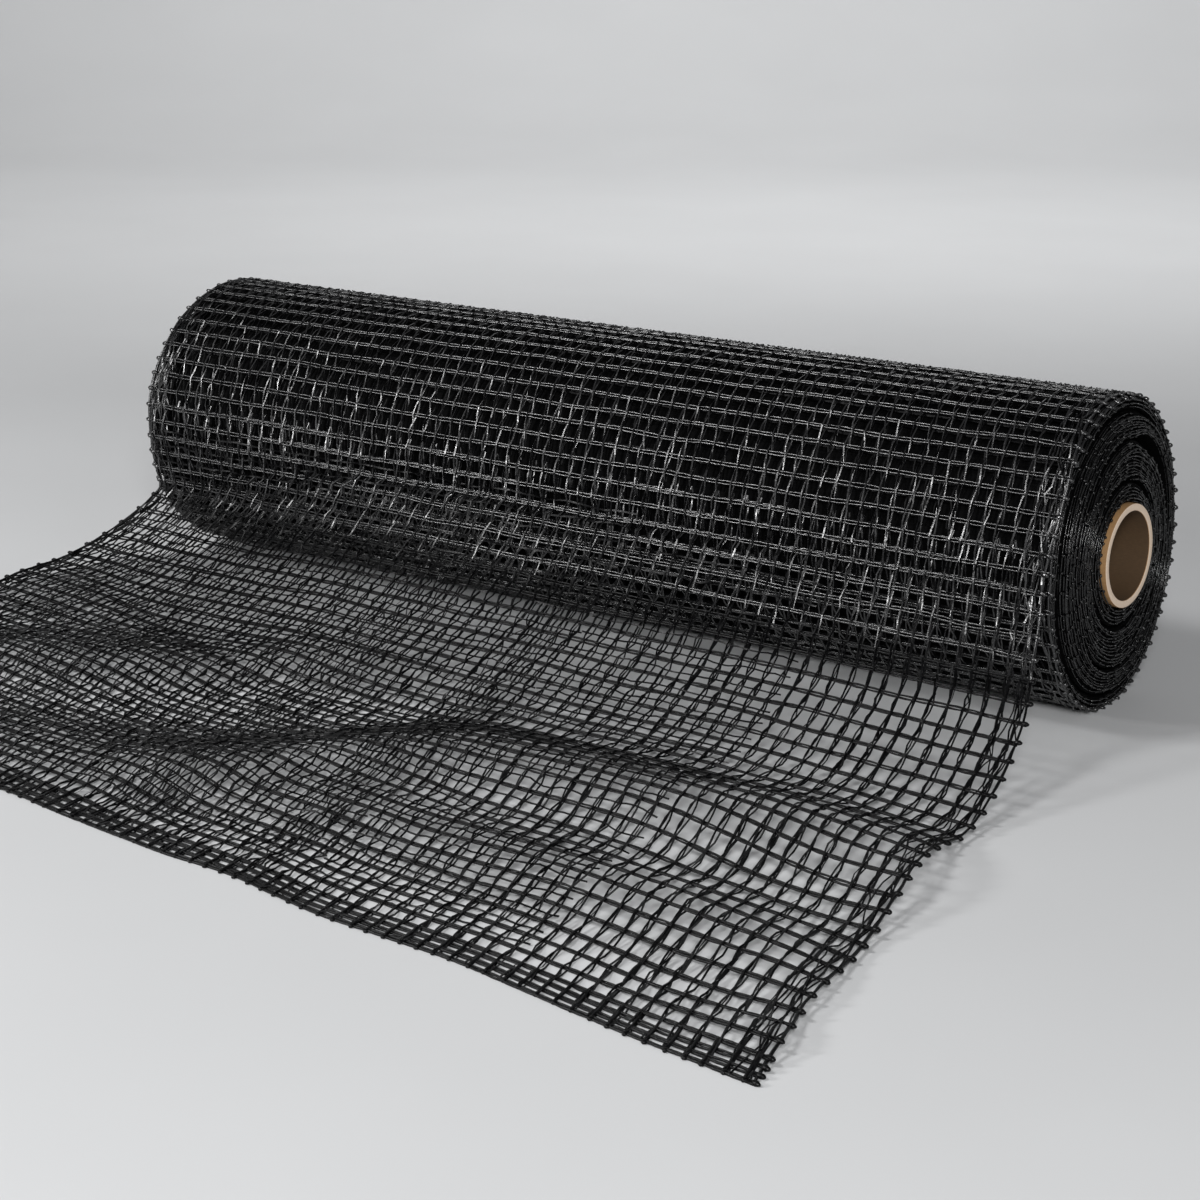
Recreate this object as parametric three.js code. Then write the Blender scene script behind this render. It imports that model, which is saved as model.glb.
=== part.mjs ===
// Roll of shade netting on a cardboard tube, with its loose end drawn out over the floor.
// Millimetres, +Z up. The roll lies along X, and the loose end runs from its front towards -Y.
import * as THREE from 'three';

// Driving dimensions of the roll
const ROLL_LENGTH = 988;
const ROLL_RADIUS = 135;
const TUBE_INNER_RADIUS = 38.1;
const TUBE_WALL = 6.2;
const TUBE_PROUD = 19;
const TUBE_SEGMENTS = 48;
const TUBE_CHAMFER = 0.6;
const FIT_GAP = 0.3;
const FLAT_SPOT_DEPTH = 0.8;

// Driving dimensions of the netting
const CLOTH = 2.4;
const LAYER_GAP = 0.55;
const CORD_PITCH = 16;
const DRAWN_PITCH = 24.5;
const EASE_ROWS = 3;
const RIB_RISE = 0.8;
const HEM_RISE = 0.8;

// The last turn parts from the winding at this angle, in degrees up from the front horizontal
const PARTING_ANGLE = 100;
const CORDS_ROUND = Math.round(2 * Math.PI * ROLL_RADIUS / CORD_PITCH);
const STATIONS = 2 * CORDS_ROUND;
const STATION = 360 / STATIONS;
const PARTING_RAMP = 1.8;
const LAYER = CLOTH + LAYER_GAP;

// Number of cords along the loose end, from the parting line to the front hem
const SHEET_ROWS = 46;

const TUBE_OUTER_RADIUS = TUBE_INNER_RADIUS + TUBE_WALL;
const BORE_RADIUS = TUBE_OUTER_RADIUS + FIT_GAP;
const RAD = Math.PI / 180;

const { lerp, smoothstep } = THREE.MathUtils;

// Radius of the winding's outer turn, which grows by one layer from the last wrap under the
// loose end to the parting line. turned is the angle in degrees wound back from that line.
function windingRadius(turned) {
  return ROLL_RADIUS - LAYER * turned / 360;
}

// The axis stands so that the roll is flattened a little where it rests.
const TURNED_AT_FLOOR = PARTING_ANGLE + 90;
const AXIS_HEIGHT = windingRadius(TURNED_AT_FLOOR) - FLAT_SPOT_DEPTH;

// A point at a radius and an angle up from the front horizontal, in the roll's cross-section
function onSection(radius, angle) {
  const y = -radius * Math.cos(angle * RAD);
  const z = AXIS_HEIGHT + radius * Math.sin(angle * RAD);
  return { y, z };
}

function meshFrom(points, triangles, name, material) {
  const geometry = new THREE.BufferGeometry();
  const coordinates = points.flatMap((p) => [p.x, p.y, p.z]);
  geometry.setAttribute('position', new THREE.Float32BufferAttribute(coordinates, 3));
  geometry.setIndex(triangles);
  geometry.computeVertexNormals();
  const mesh = new THREE.Mesh(geometry, material);
  mesh.name = name;
  return mesh;
}

// The cardboard tube, turned about its own axis and laid along X
function coreTube() {
  const left = -ROLL_LENGTH - TUBE_PROUD;
  const right = TUBE_PROUD;
  const profile = [
    new THREE.Vector2(TUBE_INNER_RADIUS, left),
    new THREE.Vector2(TUBE_OUTER_RADIUS - TUBE_CHAMFER, left),
    new THREE.Vector2(TUBE_OUTER_RADIUS, left + TUBE_CHAMFER),
    new THREE.Vector2(TUBE_OUTER_RADIUS, right - TUBE_CHAMFER),
    new THREE.Vector2(TUBE_OUTER_RADIUS - TUBE_CHAMFER, right),
    new THREE.Vector2(TUBE_INNER_RADIUS, right),
    new THREE.Vector2(TUBE_INNER_RADIUS, left),
  ];
  const geometry = new THREE.LatheGeometry(profile, TUBE_SEGMENTS);
  const cardboard = new THREE.MeshStandardMaterial({ color: 0xc9a67e, roughness: 0.85, metalness: 0 });
  const tube = new THREE.Mesh(geometry, cardboard);
  tube.name = 'core_tube';
  tube.rotation.z = -Math.PI / 2;
  tube.position.z = AXIS_HEIGHT;
  return tube;
}

const netting = new THREE.MeshStandardMaterial({ color: 0x17181a, roughness: 0.5, metalness: 0 });

// The right rim of the outer turn stands past x = 0, most at the front and least at the back.
const RIM_REACH = 6;
const RIM_SWING = 8;
const RIM_FURTHEST_ANGLE = -10;

function rightRim(angle) {
  return RIM_REACH + RIM_SWING * Math.cos((angle - RIM_FURTHEST_ANGLE) * RAD);
}

// The slack pocket on the right end is a thin gap that widens high at the back.
const POCKET_WIDEST_ANGLE = 145;
const POCKET_NARROW = 2.5;
const POCKET_WIDENING = 13;

function pocketWidth(angle) {
  const fromWidest = Math.cos((angle - POCKET_WIDEST_ANGLE) * RAD);
  return POCKET_NARROW + POCKET_WIDENING * smoothstep(fromWidest, 0.75, 1);
}

// Grooves between groups of turns. radius is the middle of the groove, width its opening, depth
// how far it goes in, and offset how far its ring lies off centre towards the back.
const RIGHT_GROOVES = [
  { radius: 62, width: () => 3, depth: 4, offset: 4 },
  { radius: 97, width: pocketWidth, depth: 16, offset: 14 },
  { radius: 121, width: () => 3, depth: 4, offset: 4 },
];
const LEFT_GROOVES = [
  { radius: 66, width: () => 3, depth: 4, offset: -5 },
  { radius: 104, width: () => 3.5, depth: 7, offset: 8 },
];
const OFFSET_ANGLE = 15;
const CONE_AT_BORE = 12;

// An end face cones out from its rim to the innermost turns.
function endFace(radius, rimReach) {
  const inward = (ROLL_RADIUS - radius) / (ROLL_RADIUS - BORE_RADIUS);
  return lerp(rimReach, CONE_AT_BORE, inward);
}

// Points across one end face at one angle, as radius and reach, from the bore out to the rim
function endProfile(grooves, angle, rimReach, rimRadius) {
  const profile = [{ radius: BORE_RADIUS, reach: endFace(BORE_RADIUS, rimReach) }];
  for (const groove of grooves) {
    const middle = groove.radius - groove.offset * Math.cos((angle - OFFSET_ANGLE) * RAD);
    const half = groove.width(angle) / 2;
    const floor = endFace(middle, rimReach) - groove.depth;
    profile.push({ radius: middle - half, reach: endFace(middle - half, rimReach) });
    profile.push({ radius: middle - half / 3, reach: floor });
    profile.push({ radius: middle + half / 3, reach: floor });
    profile.push({ radius: middle + half, reach: endFace(middle + half, rimReach) });
  }
  profile.push({ radius: rimRadius, reach: endFace(ROLL_RADIUS, rimReach) });
  return profile;
}

// Cords stand out as ribs where the winding is bare: round the back, and under the front.
// Every second cord has one, and a cord lies at every second station.
const BARE_STRETCHES = [
  { from: 4, to: 172 },
  { from: 208, to: 236 },
];

function hasRib(station, turned) {
  const isBare = BARE_STRETCHES.some((stretch) => turned > stretch.from && turned < stretch.to);
  return station % 4 === 0 && isBare;
}

// The closed section of the winding at one angle, from the right bore edge round to the left one
function windingSection(station, turned) {
  const angle = PARTING_ANGLE + turned;
  const radius = windingRadius(turned) + (hasRib(station, turned) ? RIB_RISE : 0);
  const leftEnd = -ROLL_LENGTH;
  const place = (x, r) => {
    const { y, z } = onSection(r, angle);
    return new THREE.Vector3(x, y, Math.max(z, 0));
  };
  const right = endProfile(RIGHT_GROOVES, angle, rightRim(angle), radius);
  const left = endProfile(LEFT_GROOVES, angle, 0, radius).reverse();
  return [
    ...right.map((p) => place(p.reach, p.radius)),
    ...left.map((p) => place(leftEnd - p.reach, p.radius)),
  ];
}

// The wound body: sections round the axis, joined into one closed ring
function woundRoll() {
  const sections = [windingSection(0, PARTING_RAMP)];
  for (let station = 1; station <= STATIONS; station += 1) {
    sections.push(windingSection(station, station * STATION));
  }
  const ring = sections[0].length;
  const at = (section, point) => (section % sections.length) * ring + point % ring;
  const triangles = [];
  for (let s = 0; s < sections.length; s += 1) {
    for (let p = 0; p < ring; p += 1) {
      triangles.push(at(s, p), at(s + 1, p + 1), at(s, p + 1));
      triangles.push(at(s, p), at(s + 1, p), at(s + 1, p + 1));
    }
  }
  return meshFrom(sections.flat(), triangles, 'wound_roll', netting);
}

// Fold crests on the floor, each a row of x, y and height from left to right. behind and before
// are the widths of the slopes towards the roll and towards the front hem. The cords lie closer
// together up the back of a fold that gathers them, and wider apart down its front.
const FOLDS = [
  {
    crest: [
      { x: -1060, y: -545, height: 4 },
      { x: -866, y: -440, height: 7 },
      { x: -700, y: -376, height: 9 },
      { x: -565, y: -278, height: 10 },
      { x: -460, y: -225, height: 9 },
      { x: -370, y: -120, height: 0 },
    ],
    behind: 62,
    before: 58,
    gathers: true,
  },
  {
    crest: [
      { x: -900, y: -640, height: 0 },
      { x: -690, y: -622, height: 5 },
      { x: -560, y: -596, height: 8 },
      { x: -470, y: -530, height: 11 },
      { x: -400, y: -452, height: 15 },
      { x: -300, y: -430, height: 20 },
      { x: -110, y: -430, height: 22 },
      { x: -10, y: -434, height: 22 },
      { x: 55, y: -450, height: 20 },
      { x: 105, y: -480, height: 18 },
    ],
    behind: 74,
    before: 76,
    gathers: true,
  },
  {
    crest: [
      { x: -600, y: -600, height: 0 },
      { x: -484, y: -592, height: 6 },
      { x: -365, y: -577, height: 9 },
      { x: -225, y: -584, height: 12 },
      { x: -88, y: -600, height: 14 },
      { x: 20, y: -614, height: 13 },
      { x: 75, y: -632, height: 11 },
      { x: 130, y: -672, height: 7 },
    ],
    behind: 52,
    before: 54,
    gathers: false,
  },
  {
    crest: [
      { x: -20, y: -735, height: 0 },
      { x: 90, y: -738, height: 5 },
      { x: 150, y: -745, height: 7 },
    ],
    behind: 26,
    before: 30,
    gathers: false,
  },
];
const FLATTENED = 0.7;

// The gathering of the cords at a fold of this height: how much closer they lie at most behind
// its crest and how much wider before it, and where those places are and how far they reach, in
// millimetres ahead of the crest. It fades out towards the right edge.
const GATHERED_HEIGHT = 20;
const CLOSER = { most: 0.5, ahead: -31.5, reach: 36 };
const WIDER = { most: 0.3, ahead: 82.5, reach: 60 };
const GATHER_FADES_FROM = 0.78;

// A smooth line through a table's rows: the value of one column where another column is at.
// The rows run upwards or downwards in the column that is looked up.
function along(rows, key, column, at) {
  const direction = Math.sign(rows[rows.length - 1][key] - rows[0][key]);
  const isPast = (row) => (row[key] - at) * direction > 0;
  const next = rows.findIndex(isPast);
  if (next === 0) return rows[0][column];
  if (next < 0) return rows[rows.length - 1][column];
  const slopeAt = (i) => {
    const a = rows[Math.max(i - 1, 0)];
    const b = rows[Math.min(i + 1, rows.length - 1)];
    return (b[column] - a[column]) / (b[key] - a[key]);
  };
  const [a, b] = [rows[next - 1], rows[next]];
  const span = b[key] - a[key];
  const t = (at - a[key]) / span;
  const start = (1 + 2 * t) * (1 - t) ** 2 * a[column] + t * (1 - t) ** 2 * span * slopeAt(next - 1);
  const end = t ** 2 * (3 - 2 * t) * b[column] + t ** 2 * (t - 1) * span * slopeAt(next);
  return start + end;
}

// Height of the folds over a place on the floor; low tails lie flat on it
function foldHeight(x, y) {
  let height = 0;
  for (const fold of FOLDS) {
    const ahead = along(fold.crest, 'x', 'y', x) - y;
    const width = ahead > 0 ? fold.before : fold.behind;
    height += along(fold.crest, 'x', 'height', x) * Math.exp(-((ahead / width) ** 2));
  }
  return Math.max(height - FLATTENED, 0);
}

// How closely the cords lie at a place on the floor, as a multiple of their even spacing
function gathered(x, y, across) {
  let closeness = 0;
  for (const fold of FOLDS.filter((one) => one.gathers)) {
    const ahead = along(fold.crest, 'x', 'y', x) - y;
    const closer = CLOSER.most * Math.exp(-(((ahead - CLOSER.ahead) / CLOSER.reach) ** 2));
    const wider = WIDER.most * Math.exp(-(((ahead - WIDER.ahead) / WIDER.reach) ** 2));
    closeness += along(fold.crest, 'x', 'height', x) / GATHERED_HEIGHT * (closer - wider);
  }
  return 1 + closeness * (1 - smoothstep(across, GATHER_FADES_FROM, 1));
}

// The loose end's outline on the floor and up the drape, from the roll's axis and its right rim.
// The side edges wander where folds meet them, and the front hem runs askew of the roll.
const RIGHT_EDGE = [
  { y: -134, x: 8 },
  { y: -160, x: 16 },
  { y: -208, x: 36 },
  { y: -251, x: 47 },
  { y: -296, x: 57 },
  { y: -343, x: 65 },
  { y: -392, x: 70 },
  { y: -437, x: 79 },
  { y: -483, x: 91 },
  { y: -553, x: 107 },
  { y: -623, x: 121 },
  { y: -689, x: 134 },
  { y: -731, x: 147 },
  { y: -797, x: 165 },
];
const LEFT_EDGE = [
  { y: -127, x: -982 },
  { y: -132, x: -994 },
  { y: -142, x: -1007 },
  { y: -160, x: -1020 },
  { y: -190, x: -1031 },
  { y: -225, x: -1036 },
  { y: -300, x: -1036 },
  { y: -420, x: -1012 },
  { y: -540, x: -965 },
  { y: -662, x: -925 },
];
const HEM = [
  { across: 0, y: -662 },
  { across: 0.3, y: -699 },
  { across: 0.48, y: -724 },
  { across: 0.56, y: -731 },
  { across: 0.65, y: -749 },
  { across: 0.78, y: -759 },
  { across: 0.92, y: -787 },
  { across: 1, y: -797 },
];

function acrossDrape(y, across) {
  return lerp(along(LEFT_EDGE, 'y', 'x', y), along(RIGHT_EDGE, 'y', 'x', y), across);
}

// On the roll, the last turn's right edge overhangs the rim at the upper front, and its left edge
// draws in a little towards the place where it leaves the roll.
const OVERHANG = 9;
const OVERHANG_ANGLE = 32;
const OVERHANG_SPREAD = 26;
const RIGHT_DRIFT = 6.5;
const LEFT_DRAW_IN = 6;

function acrossRoll(angle, across) {
  const overhang = OVERHANG * Math.exp(-(((angle - OVERHANG_ANGLE) / OVERHANG_SPREAD) ** 2));
  const right = RIGHT_DRIFT * smoothstep(-angle, -PARTING_ANGLE, 0) + overhang;
  const left = -ROLL_LENGTH + LEFT_DRAW_IN * smoothstep(-angle, -20, 18);
  return lerp(left, right, across);
}

// The drape hangs from the roll's front down to the floor: the angle where it leaves the roll,
// the two handles that bend its curve, and where it lands. It hangs nearer to the roll at the
// left selvedge than over the rest of its width.
const DRAPE_SELVEDGE = {
  leaves: -18,
  upper: { y: -121, z: 68 },
  lower: { y: -140, z: 22 },
  lands: { y: -225, z: 11 },
};
const DRAPE_REST = {
  leaves: -2,
  upper: { y: -140, z: 70 },
  lower: { y: -225, z: 30 },
  lands: { y: -370, z: CLOTH / 2 },
};
const DRAPE_SELVEDGE_WIDTH = 0.38;

// Length of floor over which a drape that lands high settles flat
const SETTLING = 150;

function drapeAt(across) {
  const side = smoothstep(across, 0, DRAPE_SELVEDGE_WIDTH);
  const blend = (key) => {
    const y = lerp(DRAPE_SELVEDGE[key].y, DRAPE_REST[key].y, side);
    const z = lerp(DRAPE_SELVEDGE[key].z, DRAPE_REST[key].z, side);
    return new THREE.Vector3(0, y, z);
  };
  const leaves = lerp(DRAPE_SELVEDGE.leaves, DRAPE_REST.leaves, side);
  const turned = 360 - PARTING_ANGLE + leaves;
  const { y, z } = onSection(windingRadius(turned) + LAYER_GAP + CLOTH / 2, leaves);
  const start = new THREE.Vector3(0, y, z);
  const curve = new THREE.CubicBezierCurve3(start, blend('upper'), blend('lower'), blend('lands'));
  return { leaves, curve };
}

// Length of cord-to-cord cloth between the roll and a cord, counted in rows from where the cloth
// leaves the roll: the cords ease from their spacing on the roll to their drawn-out spacing.
function drawnOut(rows) {
  const eased = EASE_ROWS * (1 - Math.exp(-rows / EASE_ROWS));
  return DRAWN_PITCH * rows - (DRAWN_PITCH - CORD_PITCH) * eased;
}

// Cloth laid on the floor from the landing to the hem at one place across, as a table of y and
// the cloth used up to there
const FLOOR_STEPS = 120;

function laidOnFloor(across, landing, hem) {
  const table = [];
  let used = 0;
  for (let step = 0; step <= FLOOR_STEPS; step += 1) {
    const y = lerp(landing, hem, step / FLOOR_STEPS);
    const density = gathered(acrossDrape(y, across), y, across);
    if (step > 0) {
      const previous = table[step - 1];
      used += (previous.y - y) * (density + previous.density) / 2;
    }
    table.push({ y, density, used });
  }
  return table;
}

function placeAlong(table, used) {
  const next = Math.max(1, table.findIndex((entry) => entry.used >= used));
  const after = used >= table[FLOOR_STEPS].used ? FLOOR_STEPS : next;
  const [a, b] = [table[after - 1], table[after]];
  return lerp(a.y, b.y, Math.min((used - a.used) / (b.used - a.used), 1));
}

// The middle of the cloth, at a place across it from 0 at the left to 1 at the right, and a row
// counted from the parting line, which need not be whole
function clothMiddle(across, row) {
  const { leaves, curve } = drapeAt(across);
  const rowsOnRoll = (PARTING_ANGLE - leaves) / (2 * STATION);
  if (row <= rowsOnRoll) {
    const angle = PARTING_ANGLE - row * 2 * STATION;
    const turned = 360 - PARTING_ANGLE + angle;
    const { y, z } = onSection(windingRadius(turned) + LAYER_GAP + CLOTH / 2, angle);
    return new THREE.Vector3(acrossRoll(angle, across), y, z);
  }
  const hem = along(HEM, 'across', 'y', across);
  const landing = curve.v3;
  const hanging = curve.getLength();
  const floor = laidOnFloor(across, landing.y, hem);
  const total = hanging + floor[FLOOR_STEPS].used;
  const travelled = total * drawnOut(row - rowsOnRoll) / drawnOut(SHEET_ROWS - rowsOnRoll);
  if (travelled < hanging) {
    const { y, z } = curve.getPointAt(travelled / hanging);
    const x = acrossDrape(y, across);
    return new THREE.Vector3(x, y, z + foldHeight(x, y) * smoothstep(travelled / hanging, 0.6, 1));
  }
  const y = placeAlong(floor, travelled - hanging);
  const x = acrossDrape(y, across);
  const settled = lerp(landing.z, CLOTH / 2, smoothstep(landing.y - y, 0, SETTLING));
  return new THREE.Vector3(x, y, settled + foldHeight(x, y));
}

// Places across the cloth: close together over the side selvedges, even between them
const SELVEDGE = 0.04;
const PANELS = 16;
const PLACES = [0, SELVEDGE / 2];
for (let panel = 0; panel <= PANELS; panel += 1) {
  PLACES.push(lerp(SELVEDGE, 1 - SELVEDGE, panel / PANELS));
}
PLACES.push(1 - SELVEDGE / 2, 1);

// The cloth's outward direction: out from the roll, and up from the floor
function clothNormal(across, row) {
  const step = 0.02;
  const left = clothMiddle(Math.max(across - step, 0), row);
  const right = clothMiddle(Math.min(across + step, 1), row);
  const back = clothMiddle(across, Math.max(row - step, 0));
  const front = clothMiddle(across, Math.min(row + step, SHEET_ROWS));
  const alongCord = right.sub(left);
  const alongCloth = front.sub(back);
  return alongCloth.cross(alongCord).normalize();
}

// Extra height of the face: a rib on every second cord, and the doubled cords of hem and selvedge
function faceRise(place, row) {
  const rib = row % 2 === 0 ? RIB_RISE : 0;
  const selvedge = place === 1 || place === PLACES.length - 2;
  const hem = row > SHEET_ROWS - 2 && row < SHEET_ROWS;
  return selvedge || hem ? HEM_RISE : rib;
}

// Rows where the cloth has a section: at every cord and midway between cords
const SECTIONS = 2 * SHEET_ROWS;

function looseSheet() {
  const columns = PLACES.length;
  const face = [];
  const underside = [];
  for (let section = 0; section <= SECTIONS; section += 1) {
    const row = section / 2;
    PLACES.forEach((across, place) => {
      const middle = clothMiddle(across, row);
      const normal = clothNormal(across, row);
      const rise = CLOTH / 2 + faceRise(place, row);
      face.push(middle.clone().addScaledVector(normal, rise));
      const below = middle.clone().addScaledVector(normal, -CLOTH / 2);
      below.z = Math.max(below.z, 0);
      underside.push(below);
    });
  }
  const count = face.length;
  const at = (section, place) => section * columns + place;
  const triangles = [];
  for (let section = 0; section < SECTIONS; section += 1) {
    for (let place = 0; place < columns - 1; place += 1) {
      const [a, b] = [at(section, place), at(section, place + 1)];
      const [c, d] = [at(section + 1, place), at(section + 1, place + 1)];
      triangles.push(a, c, b, b, c, d);
      triangles.push(count + a, count + b, count + c, count + b, count + d, count + c);
    }
  }
  const wall = (from, to) => {
    triangles.push(from, to, count + to, from, count + to, count + from);
  };
  for (let place = 0; place < columns - 1; place += 1) {
    wall(at(0, place), at(0, place + 1));
    wall(at(SECTIONS, place + 1), at(SECTIONS, place));
  }
  for (let section = 0; section < SECTIONS; section += 1) {
    wall(at(section + 1, 0), at(section, 0));
    wall(at(section, columns - 1), at(section + 1, columns - 1));
  }
  return meshFrom([...face, ...underside], triangles, 'loose_sheet', netting);
}

const roll = new THREE.Group();
roll.add(coreTube(), woundRoll(), looseSheet());

// The origin lies on the floor under the middle of the whole part.
const extent = new THREE.Box3().setFromObject(roll);
const middle = extent.getCenter(new THREE.Vector3());
roll.position.set(-middle.x, -middle.y, -extent.min.z);
roll.updateMatrixWorld(true);

export default roll;
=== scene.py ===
from math import pi, radians

import bpy
import numpy as np
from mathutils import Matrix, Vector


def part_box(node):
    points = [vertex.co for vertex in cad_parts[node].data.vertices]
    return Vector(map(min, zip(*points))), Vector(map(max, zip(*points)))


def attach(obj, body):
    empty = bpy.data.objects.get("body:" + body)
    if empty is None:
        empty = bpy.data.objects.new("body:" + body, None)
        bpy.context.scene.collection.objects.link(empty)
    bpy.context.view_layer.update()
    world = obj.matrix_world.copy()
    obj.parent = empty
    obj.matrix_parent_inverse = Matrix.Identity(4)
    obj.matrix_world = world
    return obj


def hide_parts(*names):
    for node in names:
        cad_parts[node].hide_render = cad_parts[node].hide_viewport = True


# Roll of black shade netting on a cardboard tube, with its loose end drawn out over the floor.
# Shapes are worked out in millimetres from the roll's right rim (x = 0), its axis (y = 0) and the
# floor (z = 0), and are moved into the frame, in metres, as each mesh is made.
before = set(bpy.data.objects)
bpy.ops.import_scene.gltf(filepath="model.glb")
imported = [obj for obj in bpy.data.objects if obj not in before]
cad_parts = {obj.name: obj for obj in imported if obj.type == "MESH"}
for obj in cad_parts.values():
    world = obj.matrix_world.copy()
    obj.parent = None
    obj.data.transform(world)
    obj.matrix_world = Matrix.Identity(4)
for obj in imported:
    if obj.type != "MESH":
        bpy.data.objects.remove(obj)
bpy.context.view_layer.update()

MM = 0.001
TUBE_PROUD = 19
tube_low, tube_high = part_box("core_tube")
AXIS_HEIGHT = (tube_low.z + tube_high.z) / 2 / MM
RIM_IN_FRAME = tube_high.x / MM - TUBE_PROUD
AXIS_IN_FRAME = (tube_low.y + tube_high.y) / 2 / MM
ORIGIN = np.array([RIM_IN_FRAME, AXIS_IN_FRAME, 0.0])

# The roll
ROLL_LENGTH = 988
ROLL_RADIUS = 135
TUBE_INNER_RADIUS = 38.1
TUBE_WALL = 6.2
TUBE_OUTER_RADIUS = TUBE_INNER_RADIUS + TUBE_WALL

# The cloth as it is wound: its thickness, the gap between turns and the cords' spacing
CLOTH = 2.4
LAYER_GAP = 0.55
LAYER = CLOTH + LAYER_GAP
CORD_PITCH = 16
CORDS_ROUND = 53
ROW_ANGLE = 360 / CORDS_ROUND
PARTING_ANGLE = 100

# The loose end, drawn out lengthwise once it leaves the roll
ROWS = 46
DRAWN_PITCH = 24.5
EASE_ROWS = 3
PAIRS = 70


def smoothstep(x, low, high):
    t = np.clip((x - low) / (high - low), 0, 1)
    return t * t * (3 - 2 * t)


def lerp(a, b, t):
    return a + (b - a) * t


def along(rows, at):
    """A smooth line through rows of (place, value), level past its ends."""
    places, values = np.array(sorted(rows), float).T
    last = len(places) - 1
    before = np.maximum(np.arange(last + 1) - 1, 0)
    after = np.minimum(np.arange(last + 1) + 1, last)
    slopes = (values[after] - values[before]) / (places[after] - places[before])
    at = np.clip(np.asarray(at, float), places[0], places[-1])
    j = np.clip(np.searchsorted(places, at, side="right") - 1, 0, last - 1)
    span = places[j + 1] - places[j]
    t = (at - places[j]) / span
    start = (1 + 2 * t) * (1 - t) ** 2 * values[j] + t * (1 - t) ** 2 * span * slopes[j]
    end = t ** 2 * (3 - 2 * t) * values[j + 1] + t ** 2 * (t - 1) * span * slopes[j + 1]
    return start + end


# The winding

def winding_radius(turned):
    """Radius of the outer turn, at an angle wound back from the parting line."""
    return ROLL_RADIUS - LAYER * turned / 360


def on_section(radius, angle):
    """y and z at a radius and an angle up from the front horizontal."""
    a = np.radians(angle)
    return -radius * np.cos(a), AXIS_HEIGHT + radius * np.sin(a)


def radial(angle):
    """The direction out from the axis at an angle up from the front horizontal."""
    a = np.radians(angle)
    return np.stack([0 * a, -np.cos(a), np.sin(a)], -1)


# The right rim's mean reach past x = 0, and how far and from where it swings out round the roll
RIM_REACH = 6
RIM_SWING = 8
RIM_SWING_TURN = 10


def right_rim(angle):
    return RIM_REACH + RIM_SWING * np.cos(np.radians(angle + RIM_SWING_TURN))


def left_rim(angle):
    """The left rim is straight."""
    return 0 * angle


# The loose end's folds: rows of (x, y, height) along each crest, and its slopes' widths
FOLDS = [
    {"crest": [(-1060, -545, 4), (-866, -440, 7), (-700, -376, 9), (-565, -278, 10),
               (-460, -225, 9), (-370, -120, 0)],
     "behind": 62, "before": 58, "gathers": True},
    {"crest": [(-900, -640, 0), (-690, -622, 5), (-560, -596, 8), (-470, -530, 11),
               (-400, -452, 15), (-300, -430, 20), (-110, -430, 22), (-10, -434, 22),
               (55, -450, 20), (105, -480, 18)],
     "behind": 74, "before": 76, "gathers": True},
    {"crest": [(-600, -600, 0), (-484, -592, 6), (-365, -577, 9), (-225, -584, 12),
               (-88, -600, 14), (20, -614, 13), (75, -632, 11), (130, -672, 7)],
     "behind": 52, "before": 54, "gathers": False},
    {"crest": [(-20, -735, 0), (90, -738, 5), (150, -745, 7)],
     "behind": 26, "before": 30, "gathers": False},
]

# The folds' feet flatten out: this much comes off every height
FLATTENED = 0.7

# Gathering of the cords at a fold of this height: how much closer or wider apart they lie at most,
# and where, in millimetres ahead of the crest. It fades out towards the right edge.
GATHERED_HEIGHT = 20
CLOSER = {"most": 0.32, "ahead": -40, "reach": 58}
WIDER = {"most": 0.3, "ahead": 82.5, "reach": 60}
GATHER_FADES_FROM = 0.78

# The loose end's sides as (y, x), and its hem as (share of the way across, y)
RIGHT_EDGE = [(-134, 8), (-160, 16), (-208, 36), (-251, 47), (-296, 57), (-343, 65), (-392, 70),
              (-437, 79), (-483, 91), (-553, 107), (-623, 121), (-689, 134), (-731, 147), (-797, 165)]
LEFT_EDGE = [(-127, -982), (-132, -994), (-142, -1007), (-160, -1020), (-190, -1031),
             (-225, -1036), (-300, -1036), (-420, -1012), (-540, -965), (-662, -925)]
HEM = [(0, -662), (0.3, -699), (0.48, -724), (0.56, -731), (0.65, -749), (0.78, -759),
       (0.92, -787), (1, -797)]


def crest_line(fold, x):
    """y and height of a fold's crest where it passes x."""
    y = along([(row[0], row[1]) for row in fold["crest"]], x)
    height = along([(row[0], row[2]) for row in fold["crest"]], x)
    return y, height


def fold_height(x, y):
    total = 0
    for fold in FOLDS:
        crest_y, height = crest_line(fold, x)
        ahead = crest_y - y
        width = np.where(ahead > 0, fold["before"], fold["behind"])
        total = total + height * np.exp(-(ahead / width) ** 2)
    return np.maximum(total - FLATTENED, 0)


def gathered(x, y, across):
    """How closely the cords lie: closer up the back of a fold, wider apart down its front."""
    closeness = 0
    for fold in FOLDS:
        if fold["gathers"]:
            crest_y, height = crest_line(fold, x)
            ahead = crest_y - y
            closer = CLOSER["most"] * np.exp(-((ahead - CLOSER["ahead"]) / CLOSER["reach"]) ** 2)
            wider = WIDER["most"] * np.exp(-((ahead - WIDER["ahead"]) / WIDER["reach"]) ** 2)
            closeness = closeness + height / GATHERED_HEIGHT * (closer - wider)
    return 1 + closeness * (1 - smoothstep(across, GATHER_FADES_FROM, 1))


def across_drape(y, across):
    return lerp(along(LEFT_EDGE, y), along(RIGHT_EDGE, y), across)


# How the last turn's sides lie on the roll: its right side overhangs the rim, its left one draws in
OVERHANG = {"most": 9, "angle": 32, "reach": 26}
RIGHT_DRAWS_OUT = 6.5
LEFT_DRAWS_IN = 6


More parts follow.
